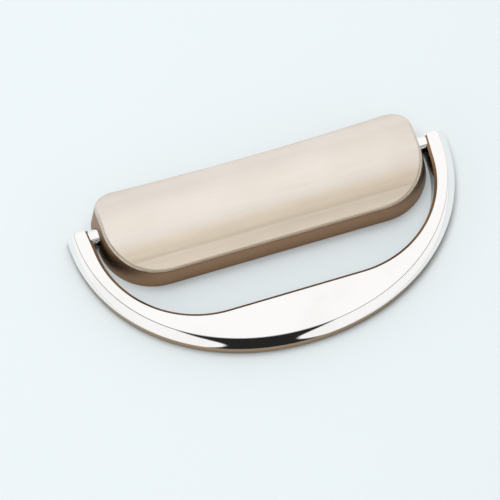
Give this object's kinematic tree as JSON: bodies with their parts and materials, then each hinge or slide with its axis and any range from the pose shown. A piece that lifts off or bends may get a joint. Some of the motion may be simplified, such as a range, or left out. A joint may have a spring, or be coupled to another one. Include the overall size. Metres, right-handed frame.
{
  "type": "ring pull handle",
  "caption": "Drop handle for a drawer or cabinet door: a half-moon bail with a wide grip swings on pins held in an elongated satin housing that screws on from behind.",
  "frame": {"origin": "on the housing's back face, midway between the two mounting holes", "axes": "+X along the hinge line, +Y away from the grip towards the housing's rear edge, which is up on a mounted door, +Z out of the door's face"},
  "size_m": [0.102, 0.0536, 0.0096],
  "materials": {
    "satin_nickel": "satin champagne nickel plating on cast zinc",
    "polished_nickel": "polished nickel plating on cast zinc",
    "pin_steel": "plain drawn steel"
  },
  "bodies": {
    "housing": {"housing": "satin_nickel", "pivot_pin_left": "pin_steel", "pivot_pin_right": "pin_steel"},
    "bail": {"bail": "polished_nickel"}
  },
  "joints": [
    {"name": "bail_pivot", "type": "hinge", "parent": "housing", "child": "bail", "pos_m": [0, 0.0042, 0.003], "axis": [-1, 0, 0], "range_deg": [0, 180]}
  ]
}
